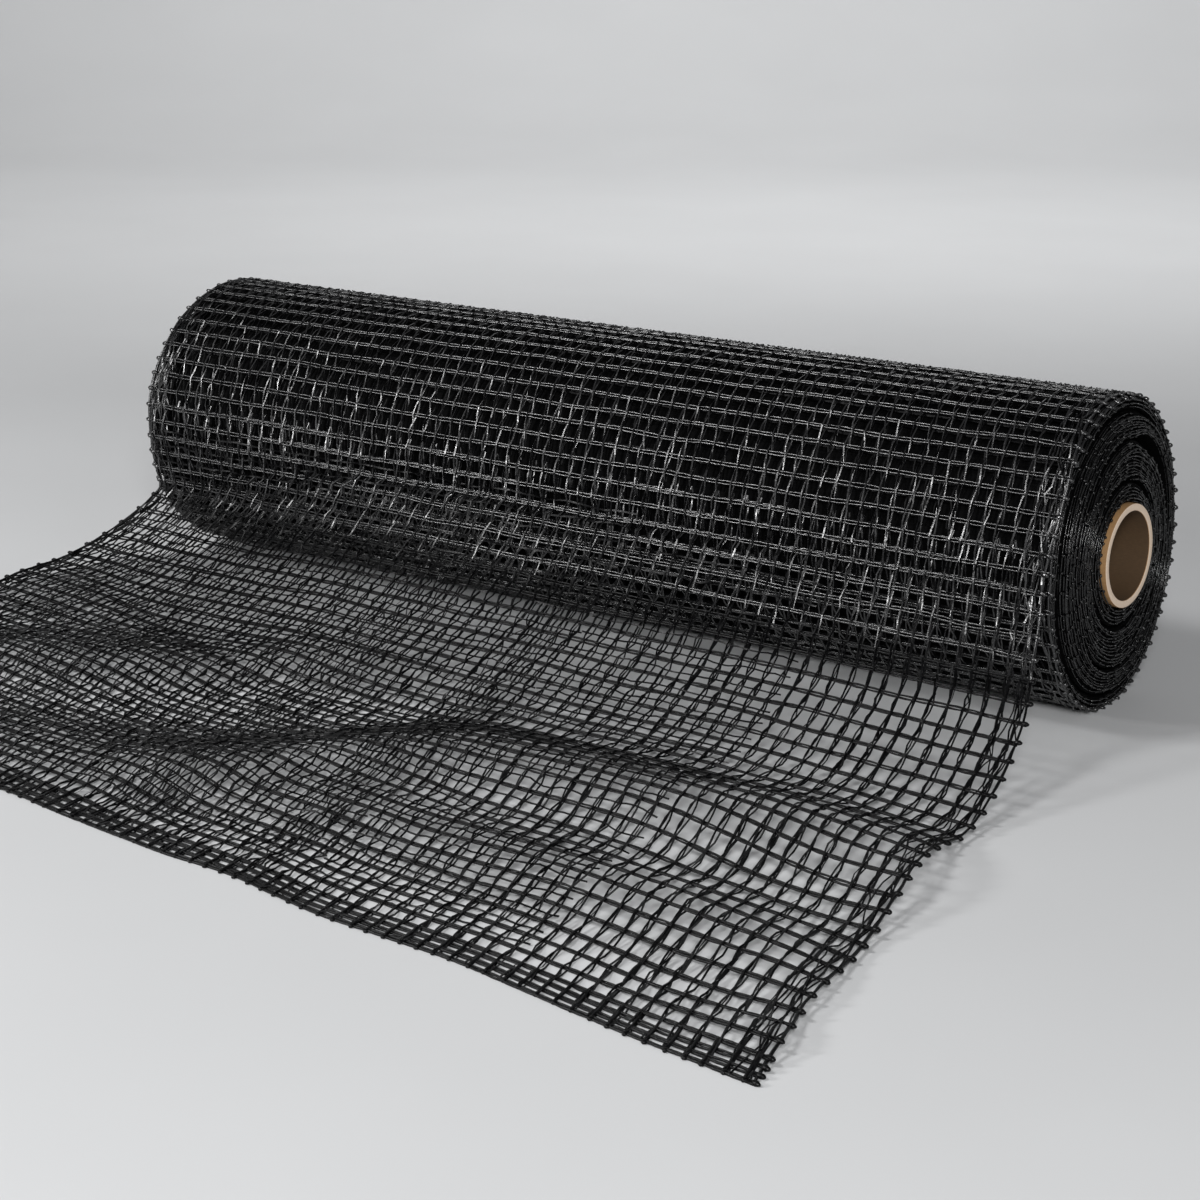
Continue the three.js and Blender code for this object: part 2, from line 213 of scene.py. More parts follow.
def across_roll(angle, across):
    overhang = OVERHANG["most"] * np.exp(-((angle - OVERHANG["angle"]) / OVERHANG["reach"]) ** 2)
    right = RIGHT_DRAWS_OUT * smoothstep(-angle, -PARTING_ANGLE, 0) + overhang
    left = -ROLL_LENGTH + LEFT_DRAWS_IN * smoothstep(-angle, -20, 18)
    return lerp(left, right, across)


# Where the drape leaves the roll, the handles of its curve, and where it lands. It settles flat over
# a stretch of floor, and the folds rise from this share of the drape on.
DRAPE_SELVEDGE = {"leaves": -18, "upper": (-121, 68), "lower": (-140, 22), "lands": (-225, 11)}
DRAPE_REST = {"leaves": -2, "upper": (-140, 70), "lower": (-225, 30), "lands": (-370, CLOTH / 2)}
DRAPE_SELVEDGE_WIDTH = 0.38
SETTLING = 150
FOLDS_RISE_FROM = 0.6


def drawn_out(rows):
    """Length of cloth over a number of cords counted from where it leaves the roll."""
    eased = EASE_ROWS * (1 - np.exp(-rows / EASE_ROWS))
    return DRAWN_PITCH * rows - (DRAWN_PITCH - CORD_PITCH) * eased


def cloth_column(across, rows):
    """Middle of the cloth at one place across it, at many rows counted from the parting line."""
    side = smoothstep(across, 0, DRAPE_SELVEDGE_WIDTH)
    handles = {key: lerp(np.array(DRAPE_SELVEDGE[key], float), np.array(DRAPE_REST[key], float), side)
               for key in DRAPE_REST}
    leaves = float(handles["leaves"])
    turned = 360 - PARTING_ANGLE + leaves
    start = np.array(on_section(winding_radius(turned) + LAYER_GAP + CLOTH / 2, leaves))
    lands_y, lands_z = handles["lands"]
    t = np.linspace(0, 1, 201)[:, None]
    curve = ((1 - t) ** 3 * start + 3 * (1 - t) ** 2 * t * handles["upper"]
             + 3 * (1 - t) * t ** 2 * handles["lower"] + t ** 3 * handles["lands"])
    steps = np.linalg.norm(np.diff(curve, axis=0), axis=1)
    hung = np.concatenate([[0], np.cumsum(steps)])
    hanging = hung[-1]

    floor_y = np.linspace(lands_y, along(HEM, across), 241)
    density = gathered(across_drape(floor_y, across), floor_y, across)
    used = np.cumsum((density[1:] + density[:-1]) / 2 * -np.diff(floor_y))
    laid = np.concatenate([[0], used])

    rows_on_roll = (PARTING_ANGLE - leaves) / ROW_ANGLE
    off_roll = np.maximum(rows - rows_on_roll, 0)
    total = hanging + laid[-1]
    travelled = total * drawn_out(off_roll) / drawn_out(ROWS - rows_on_roll)

    angle = PARTING_ANGLE - rows * ROW_ANGLE
    roll_radius = winding_radius(360 - PARTING_ANGLE + angle) + LAYER_GAP + CLOTH / 2
    roll_y, roll_z = on_section(roll_radius, angle)
    hangs = travelled < hanging
    y = np.where(hangs, np.interp(travelled, hung, curve[:, 0]),
                 np.interp(travelled - hanging, laid, floor_y))
    x = across_drape(y, across)
    rises = smoothstep(travelled / hanging, FOLDS_RISE_FROM, 1)
    settled = lerp(lands_z, CLOTH / 2, smoothstep(lands_y - y, 0, SETTLING))
    z = np.where(hangs, np.interp(travelled, hung, curve[:, 1]), settled)
    z = z + fold_height(x, y) * rises
    on_roll = rows <= rows_on_roll
    return np.stack([np.where(on_roll, across_roll(angle, across), x),
                     np.where(on_roll, roll_y, y),
                     np.where(on_roll, roll_z, z)], -1)


# The loose end is worked out once on an even grid, and strands are laid on it from there.
ROW_STEP = 0.25
GRID_ROWS = np.arange(0, ROWS + ROW_STEP / 2, ROW_STEP)
GRID_ACROSS = np.linspace(0, 1, 161)
CLOTH_GRID = np.stack([cloth_column(a, GRID_ROWS) for a in GRID_ACROSS], axis=1)


def unit(vectors):
    return vectors / np.maximum(np.linalg.norm(vectors, axis=-1, keepdims=True), 1e-9)


UP_GRID = unit(np.cross(np.gradient(CLOTH_GRID, axis=0), np.gradient(CLOTH_GRID, axis=1)))


def on_grid(grid, across, row):
    r = np.asarray(row, float) / ROW_STEP
    c = np.asarray(across, float) * (len(GRID_ACROSS) - 1)
    r, c = np.broadcast_arrays(r, c)
    i = np.clip(np.floor(r).astype(int), 0, grid.shape[0] - 2)
    j = np.clip(np.floor(c).astype(int), 0, grid.shape[1] - 2)
    s, t = (r - i)[..., None], (c - j)[..., None]
    near = lerp(grid[i, j], grid[i, j + 1], t)
    far = lerp(grid[i + 1, j], grid[i + 1, j + 1], t)
    return lerp(near, far, s)


def loose_end(across, row):
    """Points and upward directions on the loose end."""
    return on_grid(CLOTH_GRID, across, row), unit(on_grid(UP_GRID, across, row))


def wound_turn(depth, drawn_in):
    """A turn of the winding, a depth under its outer face, as points and outward directions."""
    def surface(across, row):
        across, row = np.broadcast_arrays(np.asarray(across, float), np.asarray(row, float))
        turned = row * ROW_ANGLE
        angle = PARTING_ANGLE + turned
        y, z = on_section(winding_radius(turned) - CLOTH / 2 - depth, angle)
        x = lerp(-ROLL_LENGTH + drawn_in, right_rim(angle) - drawn_in, across)
        return np.stack([x, y, z], -1), radial(angle)
    return surface


# Strands: each bundle is (centre points, up directions, half width, half thickness, sides)

def wander(rng, shape, knots, amount):
    """Smooth random swing along each of several strands."""
    count, length = shape
    coarse = rng.normal(0, amount, (count, knots))
    place = np.linspace(0, knots - 1, length)
    j = np.minimum(place.astype(int), knots - 2)
    t = smoothstep(place - j, 0, 1)
    return coarse[:, j] * (1 - t) + coarse[:, j + 1] * t


def strand_frame(points, up):
    """Sideways and outward directions along strands."""
    tangent = unit(np.gradient(points, axis=1))
    side = unit(np.cross(tangent, up))
    return side, np.cross(side, tangent)


def mesh_piece(name, points, polygons, material, smooth=True):
    """A mesh piece. points are in millimetres; polygons is a list of index arrays."""
    mesh = bpy.data.meshes.new(name)
    corners = np.concatenate([p.ravel() for p in polygons])
    sizes = np.concatenate([np.full(len(p), p.shape[1]) for p in polygons])
    mesh.vertices.add(len(points))
    mesh.vertices.foreach_set("co", ((points + ORIGIN) * MM).astype(np.float32).ravel())
    mesh.loops.add(len(corners))
    mesh.loops.foreach_set("vertex_index", corners.astype(np.int32))
    mesh.polygons.add(len(sizes))
    starts = np.concatenate([[0], np.cumsum(sizes)[:-1]])
    mesh.polygons.foreach_set("loop_start", starts.astype(np.int32))
    mesh.polygons.foreach_set("use_smooth", np.full(len(sizes), smooth))
    mesh.update(calc_edges=True)
    mesh.validate()
    mesh.materials.append(material)
    piece = bpy.data.objects.new(name, mesh)
    bpy.context.collection.objects.link(piece)
    return piece


def closed_quads(shape):
    """Quads over a grid of points that closes on itself both ways."""
    index = np.arange(shape[0] * shape[1]).reshape(shape)
    after = np.roll(index, -1, axis=0)
    quads = np.stack([index, after, np.roll(after, -1, axis=1), np.roll(index, -1, axis=1)], -1)
    return quads.reshape(-1, 4)


def strand_mesh(name, bundles, material, rng):
    """Strands that twist a little. The three-sided ones keep flat facets, as slit yarn does, and glint."""
    points, polygons, rounded = [], [], []
    first = 0
    for centres, up, half_width, half_thickness, sides in bundles:
        count, length = centres.shape[:2]
        side, lift = strand_frame(centres, up)
        width = np.broadcast_to(half_width, (count, length))[..., None, None]
        thickness = np.broadcast_to(half_thickness, (count, length))[..., None, None]
        facets = 2 * pi * np.arange(sides) / sides + pi / 2 - pi / sides
        twist = wander(rng, (count, length), max(length // 3, 2), TWIST)
        around = (facets + twist[..., None])[..., None]
        ring = (centres[:, :, None] + width * np.cos(around) * side[:, :, None]
                + thickness * np.sin(around) * lift[:, :, None])
        ring[..., 2] = np.maximum(ring[..., 2], 0.1)
        index = first + np.arange(count * length * sides).reshape(count, length, sides)
        turned = np.roll(index, -1, axis=2)
        quad = np.stack([index[:, :-1], index[:, 1:], turned[:, 1:], turned[:, :-1]], -1)
        faces = [quad.reshape(-1, 4), index[:, 0], index[:, -1, ::-1]]
        polygons += faces
        rounded.append(np.full(sum(len(face) for face in faces), sides > 3))
        points.append(ring.reshape(-1, 3))
        first += count * length * sides
    return mesh_piece(name, np.concatenate(points), polygons, material, np.concatenate(rounded))


# Half the width of each yarn, tight on the roll and drawn out on the floor. A strand with few sides
# is drawn a little wider, to look as thick as a round one.
CORD_HALF = 0.8
DRAWN_CORD_HALF = 0.98
FILAMENT_HALF = 0.62
DRAWN_FILAMENT_HALF = 0.72
THIN_CORD_HALF = 0.95
THREE_SIDED = 1.2
FOUR_SIDED = 1.05

# How far a strand's facets turn to and fro along it, in radians
TWIST = 0.75

# A doubled cord's strands lie this far from its middle, between pairs of filaments and at a pair
STRANDS_APART = 1.5
STRANDS_AT_PAIR = 1.15

# Filaments: swing along the cloth, share that cross at a cord, slack, and how far from the pair's
# middle and from the cloth's middle they pass a cord
FILAMENT_SWING = 0.8
FILAMENTS_CROSS = 0.16
FILAMENT_SLACK = 0.4
APART_AT_CORD = 1.3
OVER_CORD = 1.5

# Slit tapes: how far beside the pair's middle one passes a cord, and how often a slack one strays
TAPE_AT_CORD = 1.2
TAPE_HALF_THICKNESS = 0.2
TAPES_STRAY = 0.12

# A thin cord runs past this many places across the cloth
THIN_CORD_POINTS = 29


def cords(surface, rows, rng, half=CORD_HALF, sides=4):
    """Doubled cords across the cloth, drawn together where each pair of filaments crosses them."""
    across = np.linspace(0, 1, 2 * PAIRS + 1)
    rows = np.asarray(rows, float)[:, None]
    half = np.broadcast_to(half, rows.shape[0])[:, None]
    row = rows + wander(rng, (len(rows), len(across)), 19, 0.035)
    centre, up = surface(across[None], row)
    side, lift = strand_frame(centre, up)
    between = np.arange(len(across)) % 2 == 0
    apart = np.where(between, STRANDS_APART, STRANDS_AT_PAIR)
    wide = half * (THREE_SIDED if sides == 3 else FOUR_SIDED)
    bundles = []
    for hand in (-1, 1):
        wobble = wander(rng, (len(rows), len(across)), 45, 0.2)
        height = wander(rng, (len(rows), len(across)), 30, 0.25)
        points = centre + side * (hand * apart + wobble)[..., None] + lift * height[..., None]
        bundles.append((points, up, wide, wide, sides))
    return bundles


def filaments(surface, first, last, rng, spread, half=FILAMENT_HALF, wavy=1):
    """Pairs of filaments along the cloth, which pass over and under the cords and cross at times."""
    steps = np.arange(first, last + 0.25, 0.5)
    at_cord = np.isclose(steps % 1, 0)
    shape = (PAIRS, len(steps))
    place = (np.arange(PAIRS)[:, None] + 0.5) / PAIRS
    drift = wander(rng, shape, max(len(steps) // 7, 3), FILAMENT_SWING) + wavy * rng.normal(0, 0.2, shape)
    swaps = np.where(rng.random(shape) < FILAMENTS_CROSS, -1, 1)
    crossed = np.cumprod(np.where(at_cord, swaps, 1), axis=1)
    half = half * THREE_SIDED
    bundles = []
    for hand in (-1, 1):
        loose = wavy * rng.normal(0, FILAMENT_SLACK, shape)
        opened = np.where(at_cord, APART_AT_CORD + 0.5 * loose, spread(place) + loose)
        between = (crossed + np.roll(crossed, -1, axis=1)) / 2
        across = place + (np.where(at_cord, crossed, between) * hand * opened + drift) / ROLL_LENGTH
        points, up = surface(across, steps[None])
        over = np.where(at_cord, hand * np.where(steps % 2 < 1, 1, -1), 0) * OVER_CORD
        slack = np.where(at_cord, 0, wavy * rng.normal(0, FILAMENT_SLACK, shape))
        points = points + up * (over + slack)[..., None]
        bundles.append((points, up, half, half, 3))
    return bundles


def tapes(surface, first, last, rng, spread, share):
    """Flat slit tapes beside the filaments, half turned, wide where they pass a cell. share gives
    how many pairs have one on each hand."""
    steps = np.arange(first, last + 0.25, 0.5)
    at_cord = np.isclose(steps % 1, 0)
    bundles = []
    for hand in (-1, 1):
        chosen = np.flatnonzero(rng.random(PAIRS) < share(hand, np.arange(PAIRS) / PAIRS)) + 0.5
        shape = (len(chosen), len(steps))
        place = chosen[:, None] / PAIRS
        beside = hand * spread(place) * lerp(1.0, 0.3, smoothstep(place, 0.4, 0.8))
        offset = np.where(at_cord, hand * TAPE_AT_CORD, beside) + rng.normal(0, 0.7, shape)
        points, up = surface(place + offset / ROLL_LENGTH, steps[None])
        points = points + up * rng.normal(0, 0.4, (*shape, 1))
        tilt = unit(up + rng.normal(0, 0.3, up.shape))
        wide = np.where(at_cord, 0.8, 0.6 + lerp(1.5, 1.1, place) * rng.random(shape))
        bundles.append((points, tilt, wide, TAPE_HALF_THICKNESS, 3))
    return bundles


def straying_tapes(surface, first, last, rng, share):
    """Slack tapes between the pairs. Each strays to one pair and back as it runs up the cloth."""
    chosen = np.flatnonzero(rng.random(PAIRS - 1) < share(np.arange(1, PAIRS) / PAIRS))
    steps = np.arange(first, last + 0.25, 0.5)
    shape = (len(chosen), len(steps))
    stray = np.where(rng.random(shape) < TAPES_STRAY, rng.choice([-0.4, 0.4], shape), 0)
    swing = 1.0 + stray + rng.normal(0, 0.07, shape)
    points, up = surface((chosen[:, None] + swing) / PAIRS, steps[None])
    points = points + up * rng.normal(0, 0.5, (*shape, 1))
    tilt = unit(up + rng.normal(0, 0.35, up.shape))
    return [(points, tilt, 0.7 + 0.8 * rng.random(shape), 0.22, 3)]


def thin_cords(surface, rows, rng, share):
    """Single thin yarns across the cloth between the doubled cords, here and there."""
    length = THIN_CORD_POINTS
    starts, levels = [], []
    for row in rows:
        for start in np.arange(0, 2 * PAIRS - length, length - 1):
            if rng.random() < share(start / (2 * PAIRS)):
                starts.append(start)
                levels.append(row + 0.5 + rng.normal(0, 0.07))
    starts, levels = np.array(starts)[:, None], np.array(levels)[:, None]
    across = (starts + np.arange(length)) / (2 * PAIRS)
    shape = across.shape
    points, up = surface(across, levels + wander(rng, shape, 11, 0.06))
    points = points + up * rng.normal(0, 0.4, (*shape, 1))
    return [(points, up, THIN_CORD_HALF, 0.8, 3)]


# Edge yarns: how far in from the edge each finer one runs, and how far it swings
SELVEDGE_INSETS = np.array([4.0, 9.0, 14.0, 19.5])[:, None]
SELVEDGE_SWING = 2.6


def selvedge(surface, first, last, rng):
    """Edge yarns along both sides: an outer cord and finer strands that cross one another."""
    steps = np.arange(first, last + 0.25, 0.5)
    bundles = []
    for edge, inward in ((0, 1), (1, -1)):
        outer = edge + inward * 0.0012 + wander(rng, (1, len(steps)), len(steps) // 2, 0.0006)
        points, up = surface(outer, steps[None])
        bundles.append((points, up, 1.35, 1.1, 4))
        inset = SELVEDGE_INSETS / ROLL_LENGTH
        swing = np.sin(steps * pi * 0.5 + np.arange(4)[:, None] * 2.1) * SELVEDGE_SWING / ROLL_LENGTH
        jitter = rng.normal(0, 0.9 / ROLL_LENGTH, (4, len(steps)))
        points, up = surface(edge + inward * (inset + swing + jitter), steps[None])
        lift = rng.normal(0, 0.8, (4, len(steps), 1))
        bundles.append((points + up * lift, up, 0.75, 0.75, 3))
    return bundles


def cord_ends(surface, rows, rng):
    """Round knots where each cord turns back at the selvedges."""
    rows = np.asarray(rows, float)[:, None]
    reach = np.array([-3.6, -1.2, 1.2, 3.0]) / ROLL_LENGTH
    half = np.array([1.3, 2.4, 2.5, 1.2])
    bundles = []
    for edge, outward in ((0, -1), (1, 1)):
        lean = rng.normal(0, 0.03, (len(rows), 1)) * np.array([0, 0.3, 0.8, 1])
        points, up = surface(edge + outward * reach[None], rows + lean)
        bundles.append((points, up, half * 0.95, half * 0.85, 5))
    return bundles


# Colours are sRGB hex values

def linear(hex_colour):
    """An sRGB hex colour as linear red, green, blue and alpha."""
    channels = np.array([int(hex_colour[i:i + 2], 16) for i in (1, 3, 5)]) / 255
    values = np.where(channels <= 0.04045, channels / 12.92, ((channels + 0.055) / 1.055) ** 2.4)
    return (*values.tolist(), 1.0)


def add_node(tree, kind, settings=None, inputs=None):
    """A node with its settings. An input is a value, or the socket that feeds it."""
    node = tree.nodes.new("ShaderNode" + kind)
    for name, value in (settings or {}).items():
        setattr(node, name, value)
    for name, value in (inputs or {}).items():
        if isinstance(value, bpy.types.NodeSocket):
            tree.links.new(value, node.inputs[name])
        else:
            node.inputs[name].default_value = value
    return node


def new_material(name):
    material = bpy.data.materials.new(name)
    material.use_nodes = True
    tree = material.node_tree
    shader = tree.nodes["Principled BSDF"]
    place = add_node(tree, "TexCoord").outputs["Object"]
    return material, tree, shader, place


def polyethylene_yarn(name, dark, light, roughness, gloss):
    """High-density polyethylene yarn, extruded, slit and drawn: near black, with a waxy gloss
    that breaks up into short bright glints where the strands turn."""
    material, tree, shader, place = new_material(name)
    # The colour blooms in patches of 11 mm. The streaks are 1.4 mm apart: real ones are finer than
    # a tenth of that and would not show.
    bloom = add_node(tree, "TexNoise", None, {"Vector": place, "Scale": 90.0, "Detail": 3.0})
    colour = add_node(tree, "Mix", {"data_type": "RGBA"}, {"Factor": bloom.outputs["Fac"],
                                                           "A": linear(dark), "B": linear(light)})
    tree.links.new(colour.outputs["Result"], shader.inputs["Base Color"])
    streaks = add_node(tree, "TexNoise", None, {"Vector": place, "Scale": 700.0, "Detail": 2.0})
    polish = add_node(tree, "MapRange", None, {"Value": streaks.outputs["Fac"], "From Min": 0.3,
                                               "From Max": 0.7, "To Min": roughness[0],
                                               "To Max": roughness[1]})
    tree.links.new(polish.outputs["Result"], shader.inputs["Roughness"])
    bump = add_node(tree, "Bump", None, {"Strength": 0.5, "Distance": 0.0004,
                                         "Height": streaks.outputs["Fac"]})
    tree.links.new(bump.outputs["Normal"], shader.inputs["Normal"])
    shader.inputs["IOR"].default_value = 1.54
    shader.inputs["Specular IOR Level"].default_value = gloss
    return material


def packed_body_in_painted_shade():
    """The same yarn packed tightly under the outer turns: black yarn painted darker still and matt, as
    painted shade in the gaps between cords.
    """
    material, tree, shader, place = new_material("packed_body_polyethylene_in_painted_shade")
    # As long as the pairs of filaments are apart, 14 mm, and as thick as a turn, 2.5 mm
    yarns = add_node(tree, "Mapping", None, {"Vector": place, "Scale": (70.0, 400.0, 400.0)})
    weave = add_node(tree, "TexNoise", None, {"Vector": yarns.outputs["Vector"], "Scale": 1.0,
                                              "Detail": 3.0})
    colour = add_node(tree, "Mix", {"data_type": "RGBA"}, {"Factor": weave.outputs["Fac"],
                                                           "A": linear("#020202"),
                                                           "B": linear("#080809")})
    tree.links.new(colour.outputs["Result"], shader.inputs["Base Color"])
    bump = add_node(tree, "Bump", None, {"Strength": 0.8, "Distance": 0.0015,
                                         "Height": weave.outputs["Fac"]})
    tree.links.new(bump.outputs["Normal"], shader.inputs["Normal"])
    shader.inputs["Roughness"].default_value = 0.7
    shader.inputs["IOR"].default_value = 1.54
    shader.inputs["Specular IOR Level"].default_value = 0.03
    return material


def paperboard(name, dark, light):
    """Spiral-wound paperboard: matt brown kraft faces with fine fibres, and a paler cut end."""
    material, tree, shader, place = new_material(name)
    # Fibres 3.3 mm long and 0.7 mm wide, which is coarser than real ones, so that they show
    fibres = add_node(tree, "Mapping", None, {"Vector": place, "Scale": (300.0, 1500.0, 1500.0)})
    grain = add_node(tree, "TexNoise", None, {"Vector": fibres.outputs["Vector"], "Scale": 1.0,
                                              "Detail": 4.0})
    kraft = add_node(tree, "Mix", {"data_type": "RGBA"}, {"Factor": grain.outputs["Fac"],
                                                          "A": linear(dark), "B": linear(light)})
    cut = add_node(tree, "Mix", {"data_type": "RGBA"}, {"Factor": grain.outputs["Fac"],
                                                        "A": linear("#e6cbb0"),
                                                        "B": linear("#f4e2cf")})
    facing = add_node(tree, "SeparateXYZ", None,
                      {"Vector": add_node(tree, "NewGeometry").outputs["Normal"]})
    level = add_node(tree, "Math", {"operation": "ABSOLUTE"}, {0: facing.outputs["X"]})
    is_end = add_node(tree, "MapRange", None, {"Value": level.outputs["Value"], "From Min": 0.6,
                                               "From Max": 0.85})
    colour = add_node(tree, "Mix", {"data_type": "RGBA"}, {"Factor": is_end.outputs["Result"],
                                                           "A": kraft.outputs["Result"],
                                                           "B": cut.outputs["Result"]})
    tree.links.new(colour.outputs["Result"], shader.inputs["Base Color"])
    bump = add_node(tree, "Bump", None, {"Strength": 0.4, "Distance": 0.0003,
                                         "Height": grain.outputs["Fac"]})
    tree.links.new(bump.outputs["Normal"], shader.inputs["Normal"])
    shader.inputs["Roughness"].default_value = 0.85
    shader.inputs["IOR"].default_value = 1.5
    return material


# One yarn in four copies whose colour and gloss differ for how light falls, not in the yarn itself:
# lightest and glossiest wound tight on the roll, painted darker and duller where it lies slack,
# darkest as painted shade in the inner turns under the turn above, and painted darker where the
# turns' edges lie edge on at the ends of the roll
YARN = polyethylene_yarn("high_density_polyethylene_yarn", "#060607", "#101012", (0.2, 0.4), 1.0)
LOOSE_END_YARN_PAINTED_DARKER = polyethylene_yarn("loose_end_yarn_painted_darker", "#040405", "#0a0a0b",
                               (0.25, 0.5), 0.17)
INNER_YARN_IN_PAINTED_SHADE = polyethylene_yarn("inner_turns_yarn_in_painted_shade", "#020203", "#060607", (0.4, 0.6), 0.1)
END_FACE_YARN_PAINTED_DARKER = polyethylene_yarn("end_face_yarn_painted_darker", "#040405", "#0b0b0c",
                              (0.15, 0.32), 0.6)
BODY_IN_PAINTED_SHADE = packed_body_in_painted_shade()
PAPERBOARD = paperboard("spiral_wound_paperboard", "#8c6840", "#b08a5e")
# The bore takes a darker copy of the paperboard: painted shade inside the tube.
BORE_WALL_IN_PAINTED_SHADE = paperboard("bore_wall_paperboard_in_painted_shade", "#402e1b", "#59432a")


# The netting

# Rows of the loose end that lie on the roll, and those that take the roll's lighter, glossier copy of the
# yarn down into the drape before the copy painted darker takes over
ROWS_OVER_ROLL = 15
GLOSSY_ROWS = 19


def spread_on_roll(place):
    """How far a filament lies from its pair's middle between two cords."""
    return lerp(2.2, 1.6, smoothstep(place, 0, 0.6))


def spread_when_drawn(place):
    """The same on the floor, where the filaments lie evenly on the left and in pairs on the right."""
    return lerp(3.4, 1.7, smoothstep(place, 0.5, 0.9))


def net_over_roll():
    """The loose end's net where it lies on the roll and starts to hang."""
    rng = np.random.default_rng(10)
    bundles = cords(loose_end, np.arange(0, GLOSSY_ROWS), rng)
    bundles += filaments(loose_end, 0, GLOSSY_ROWS, rng, spread_on_roll, wavy=0.5)
    bundles += selvedge(loose_end, 0, GLOSSY_ROWS, rng)
    bundles += cord_ends(loose_end, np.arange(0, GLOSSY_ROWS), rng)
    return strand_mesh("net_over_roll", bundles, YARN, rng)


def loose_net():
    """The loose end's cords and filaments from the drape to the hem."""
    rng = np.random.default_rng(11)
    rows = np.arange(GLOSSY_ROWS, ROWS - 1)
    half = lerp(CORD_HALF, DRAWN_CORD_HALF, smoothstep(rows, ROWS_OVER_ROLL, ROWS_OVER_ROLL + 8))
    bundles = cords(loose_end, rows, rng, half)
    bundles += filaments(loose_end, GLOSSY_ROWS, ROWS, rng, spread_when_drawn, DRAWN_FILAMENT_HALF)
    return strand_mesh("loose_net", bundles, LOOSE_END_YARN_PAINTED_DARKER, rng)


def tape_share(hand, place):
    return np.where(hand < 0, 1.0, lerp(1.0, 0.3, smoothstep(place, 0.4, 0.8)))


def stray_share(place):
    return lerp(0.45, 0.06, smoothstep(place, 0.4, 0.8))


def thin_cord_share(place):
    return lerp(0.97, 0.15, smoothstep(place, 0.62, 0.92))


def loose_tapes():
    """The loose end's slit tapes and thin cords, which lie thickest on its left."""
    rng = np.random.default_rng(12)
    first = ROWS_OVER_ROLL - 1
    bundles = tapes(loose_end, ROWS_OVER_ROLL, ROWS, rng, spread_when_drawn, tape_share)
    bundles += straying_tapes(loose_end, first, ROWS, rng, stray_share)
    bundles += thin_cords(loose_end, np.arange(first, ROWS - 2), rng, thin_cord_share)
    return strand_mesh("loose_tapes", bundles, LOOSE_END_YARN_PAINTED_DARKER, rng)


# The hem's four cords lie closer together than the net's
HEM_ROWS = ROWS - np.array([1.22, 0.8, 0.4, 0.0])


def loose_edges():
    """The hem and the selvedges of the loose end."""
    rng = np.random.default_rng(13)
    bundles = cords(loose_end, HEM_ROWS, rng, DRAWN_CORD_HALF)
    bundles += selvedge(loose_end, GLOSSY_ROWS, ROWS, rng)
    rows = np.concatenate([np.arange(GLOSSY_ROWS, ROWS - 1), HEM_ROWS])
    bundles += cord_ends(loose_end, rows, rng)
    bundles += hem_rungs(rng)
    return strand_mesh("loose_edges", bundles, LOOSE_END_YARN_PAINTED_DARKER, rng)


def hem_rungs(rng):
    """Short thick yarns that tie the hem's cords together, with a knot on the front edge."""
    place = (np.arange(PAIRS)[:, None] + 0.5) / PAIRS + rng.normal(0, 0.0008, (PAIRS, 1))
    rungs = np.linspace(ROWS - 1.25, ROWS, 4)
    points, up = loose_end(place + 0 * rungs, rungs[None])
    bundles = [(points + 0.5 * up, up, 1.5, 1.0, 4)]
    knots = ROWS + np.array([-0.1, 0.0, 0.09, 0.15])
    half = np.array([1.0, 2.2, 2.1, 0.9])
    points, up = loose_end(place + 0 * knots, knots[None])
    bundles.append((points, up, half, half * 0.85, 5))
    return bundles


# The loose end lies over the winding from this row of its outermost turn on
COVERED_ROW = 40


def outer_turn():
    """The outermost turn of the winding, which shows over the back and below the loose end."""
    rng = np.random.default_rng(21)
    surface = wound_turn(0, 0.5)
    bundles = cords(surface, np.arange(0, COVERED_ROW + 1), rng)
    bundles += filaments(surface, 0, COVERED_ROW + 0.5, rng, spread_on_roll, wavy=0.5)
    bundles += selvedge(surface, 0, CORDS_ROUND, rng)
    bundles += cord_ends(surface, np.arange(0, CORDS_ROUND + 1), rng)
    return strand_mesh("outer_turn", bundles, YARN, rng)


def inner_turn():
    """The turn under the outermost one and under the loose end, seen through their gaps."""
    rng = np.random.default_rng(22)
    under_turn = wound_turn(LAYER, 3)
    under_sheet = wound_turn(0, 3)
    bundles = cords(under_turn, np.arange(0, COVERED_ROW + 1), rng, sides=3)
    bundles += filaments(under_turn, 0, COVERED_ROW, rng, spread_on_roll)
    bundles += cords(under_sheet, np.arange(COVERED_ROW + 1, CORDS_ROUND + 1), rng, sides=3)
    bundles += filaments(under_sheet, COVERED_ROW + 0.5, CORDS_ROUND, rng, spread_on_roll)
    bundles += selvedge(under_turn, 0, CORDS_ROUND, rng)
    # Drawn in the darkest copy of the yarn: painted shade under the turn above.
    return strand_mesh("inner_turn", bundles, INNER_YARN_IN_PAINTED_SHADE, rng)


# The end faces. A groove is (radius, width, depth, how far its ring is off centre).

# The slack pocket: how wide its groove is all round, how much wider at most, and where
POCKET = {"least": 2.5, "more": 13, "angle": 145}


def pocket_width(angle):
    near = smoothstep(np.cos(np.radians(angle - POCKET["angle"])), 0.75, 1)
    return POCKET["least"] + POCKET["more"] * near


def narrow(width):
    return lambda angle: width + 0 * angle


RIGHT_GROOVES = [(62, narrow(3), 4, 4), (97, pocket_width, 16, 14), (121, narrow(3), 4, 4)]
LEFT_GROOVES = [(66, narrow(3), 4, -5), (104, narrow(3.5), 7, 8)]
BORE_RADIUS = TUBE_OUTER_RADIUS + 0.3

# The grooves' rings lie off centre, away from this angle. The faces cone out to this reach at the tube.
OFFSET_ANGLE = 15
CONE_AT_BORE = 15


